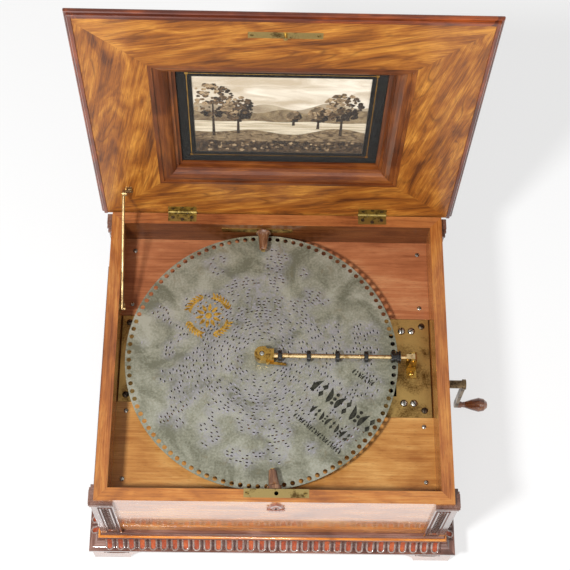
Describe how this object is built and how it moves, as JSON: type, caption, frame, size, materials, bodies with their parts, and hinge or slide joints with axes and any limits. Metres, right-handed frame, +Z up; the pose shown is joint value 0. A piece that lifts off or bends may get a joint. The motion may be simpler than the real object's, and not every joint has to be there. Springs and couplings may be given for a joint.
{
  "type": "disc music box",
  "caption": "Table disc music box: walnut case with open lid, punched disc on a spindle under a roller bar, spring motor and side crank.",
  "frame": {"origin": "on the floor plane, under the middle of the whole outline's X and Y extent with the lid open and the crank in place", "axes": "+X to the right, towards the crank; +Y to the back, where the hinges are; +Z up"},
  "size_m": [0.6134, 0.527, 0.7118],
  "materials": {
    "walnut_case": "french polished figured walnut veneer, worn at the edges",
    "walnut_carved": "polished walnut, machine-turned mouldings with light carving",
    "walnut_lid": "french polished figured walnut veneer",
    "pine_inner": "plain planed softwood, oiled",
    "deck_maple": "varnished straight-grained board",
    "fruitwood": "turned and polished fruitwood",
    "bed_brass": "cast iron with a gold-bronze paint gone brown in places",
    "old_brass": "brushed brass, dulled by age",
    "spring_steel": "ground and lightly oiled steel",
    "dark_steel": "blued steel, rubbed",
    "zinc": "rolled zinc-plated steel sheet, dull grey with tarnish",
    "black_roller": "blackened turned rollers",
    "glass": "clear old sheet glass",
    "mat_board": "black mat board with a gilt line",
    "print_paper": "sepia landscape print on paper"
  },
  "bodies": {
    "case": {"case_front": "walnut_case", "case_right": "walnut_case", "case_back": "walnut_case", "case_left": "walnut_case", "base_board": "pine_inner", "base_mouldings": "walnut_carved", "corner_posts": "walnut_carved", "bracket_feet": "walnut_carved", "keyhole_escutcheon": "fruitwood", "lock_plate": "old_brass", "lock_body": "dark_steel", "hinge_case_leaves": "old_brass", "stay_fork": "old_brass", "deck_back": "deck_maple", "deck_front": "deck_maple", "deck_bearers": "pine_inner", "deck_screws": "spring_steel", "bedplate": "bed_brass", "bedplate_screws": "spring_steel", "spindle": "spring_steel", "bar_bracket": "old_brass", "guide_axles": "old_brass", "star_gantry": "old_brass", "combs": "spring_steel", "motor_plates": "old_brass", "motor_pillars": "dark_steel"},
    "lid": {"lid_rails": "walnut_lid", "lid_edge_mouldings": "walnut_carved", "lid_board": "walnut_lid", "recess_mouldings": "walnut_lid", "picture_glass": "glass", "picture_mat": "mat_board", "picture_print": "print_paper", "strike_plate": "old_brass", "hinge_lid_leaves": "old_brass", "stay_bracket": "old_brass"},
    "stay": {"stay_rod": "spring_steel"},
    "disc": {"tune_disc": "zinc"},
    "bar": {"pressure_bar": "old_brass", "bar_tongue": "old_brass"},
    "catch": {"bar_catch": "dark_steel"},
    "roller_1": {"roller_1": "black_roller"},
    "roller_2": {"roller_2": "black_roller"},
    "roller_3": {"roller_3": "black_roller"},
    "roller_4": {"roller_4": "black_roller"},
    "roller_5": {"edge_roller": "black_roller"},
    "guide_back": {"guide_roller_back": "fruitwood"},
    "guide_front": {"guide_roller_front": "fruitwood"},
    "stars": {"star_wheels": "spring_steel"},
    "drive": {"sprocket": "dark_steel"},
    "barrel": {"spring_barrel": "old_brass", "mainspring": "spring_steel"},
    "train": {"train_arbor": "old_brass"},
    "fly": {"governor_fly": "old_brass"},
    "winder": {"winding_arbor": "dark_steel", "crank_arm": "dark_steel"},
    "grip": {"crank_grip": "fruitwood"},
    "pawl": {"click": "dark_steel"},
    "bolt": {"lock_bolt": "dark_steel"}
  },
  "joints": [
    {"name": "lid_hinge", "type": "hinge", "parent": "case", "child": "lid", "pos_m": [-0.03365, 0.20773, 0.2431], "axis": [-1, 0, 0], "range_deg": [-92, 0]},
    {"name": "stay_swing", "type": "hinge", "parent": "lid", "child": "stay", "pos_m": [-0.25965, 0.20304, 0.3065], "axis": [1, 0, 0], "range_deg": [-116.86, 0]},
    {"name": "disc_spin", "type": "hinge", "parent": "case", "child": "disc", "pos_m": [-0.05415, -0.01497, 0.2145], "axis": [0, 0, 1], "continuous": true},
    {"name": "drive_spin", "type": "hinge", "parent": "case", "child": "drive", "pos_m": [0.13935, -0.01497, 0.171], "axis": [1, 0, 0], "continuous": true},
    {"name": "barrel_spin", "type": "hinge", "parent": "case", "child": "barrel", "pos_m": [0.07835, -0.01587, 0.11701], "axis": [1, 0, 0], "continuous": true},
    {"name": "train_spin", "type": "hinge", "parent": "case", "child": "train", "pos_m": [0.12235, 0.03719, 0.12701], "axis": [1, 0, 0], "continuous": true},
    {"name": "fly_spin", "type": "hinge", "parent": "case", "child": "fly", "pos_m": [0.07835, 0.04733, 0.09351], "axis": [1, 0, 0], "continuous": true},
    {"name": "star_spin", "type": "hinge", "parent": "case", "child": "stars", "pos_m": [-0.02415, -0.01497, 0.2072], "axis": [1, 0, 0], "continuous": true},
    {"name": "winding", "type": "hinge", "parent": "case", "child": "winder", "pos_m": [0.21435, -0.01587, 0.11701], "axis": [1, 0, 0], "continuous": true},
    {"name": "grip_spin", "type": "hinge", "parent": "winder", "child": "grip", "pos_m": [0.26835, -0.01587, 0.02601], "axis": [1, 0, 0], "continuous": true},
    {"name": "click_swing", "type": "hinge", "parent": "case", "child": "pawl", "pos_m": [0.16335, -0.04787, 0.13101], "axis": [-1, 0, 0], "range_deg": [0, 6]},
    {"name": "bar_lift", "type": "hinge", "parent": "case", "child": "bar", "pos_m": [0.16635, -0.01497, 0.2231], "axis": [0, 1, 0], "range_deg": [0, 100]},
    {"name": "catch_swing", "type": "hinge", "parent": "bar", "child": "catch", "pos_m": [-0.04515, -0.02397, 0.2171], "axis": [0, 0, -1], "range_deg": [0, 20]},
    {"name": "roller_spin_1", "type": "hinge", "parent": "bar", "child": "roller_1", "pos_m": [-0.02785, -0.01497, 0.2231], "axis": [1, 0, 0], "continuous": true},
    {"name": "roller_spin_2", "type": "hinge", "parent": "bar", "child": "roller_2", "pos_m": [0.01395, -0.01497, 0.2231], "axis": [1, 0, 0], "continuous": true},
    {"name": "roller_spin_3", "type": "hinge", "parent": "bar", "child": "roller_3", "pos_m": [0.05575, -0.01497, 0.2231], "axis": [1, 0, 0], "continuous": true},
    {"name": "roller_spin_4", "type": "hinge", "parent": "bar", "child": "roller_4", "pos_m": [0.09755, -0.01497, 0.2231], "axis": [1, 0, 0], "continuous": true},
    {"name": "roller_spin_5", "type": "hinge", "parent": "bar", "child": "roller_5", "pos_m": [0.13935, -0.01497, 0.2231], "axis": [1, 0, 0], "continuous": true},
    {"name": "guide_spin_back", "type": "hinge", "parent": "case", "child": "guide_back", "pos_m": [-0.05415, 0.17253, 0.2258], "axis": [0, 1, 0], "continuous": true},
    {"name": "guide_spin_front", "type": "hinge", "parent": "case", "child": "guide_front", "pos_m": [-0.03514, -0.20555, 0.2258], "axis": [0.0993, -0.9951, 0], "continuous": true},
    {"name": "bolt_slide", "type": "slide", "parent": "case", "child": "bolt", "axis": [-1, 0, 0], "range_m": [0, 0.005]}
  ],
  "couplings": [
    {"joint": "stay_swing", "follows": "lid_hinge", "ratio": 1.2697},
    {"joint": "drive_spin", "follows": "disc_spin", "ratio": -4.5},
    {"joint": "barrel_spin", "follows": "disc_spin", "ratio": 0.9},
    {"joint": "train_spin", "follows": "disc_spin", "ratio": -4.5},
    {"joint": "fly_spin", "follows": "disc_spin", "ratio": 27},
    {"joint": "roller_spin_1", "follows": "disc_spin", "ratio": 3.1687},
    {"joint": "roller_spin_2", "follows": "disc_spin", "ratio": 8.2048},
    {"joint": "roller_spin_3", "follows": "disc_spin", "ratio": 13.241},
    {"joint": "roller_spin_4", "follows": "disc_spin", "ratio": 18.277},
    {"joint": "roller_spin_5", "follows": "disc_spin", "ratio": 23.313},
    {"joint": "guide_spin_back", "follows": "disc_spin", "ratio": 18.036},
    {"joint": "guide_spin_front", "follows": "disc_spin", "ratio": 18.036}
  ]
}
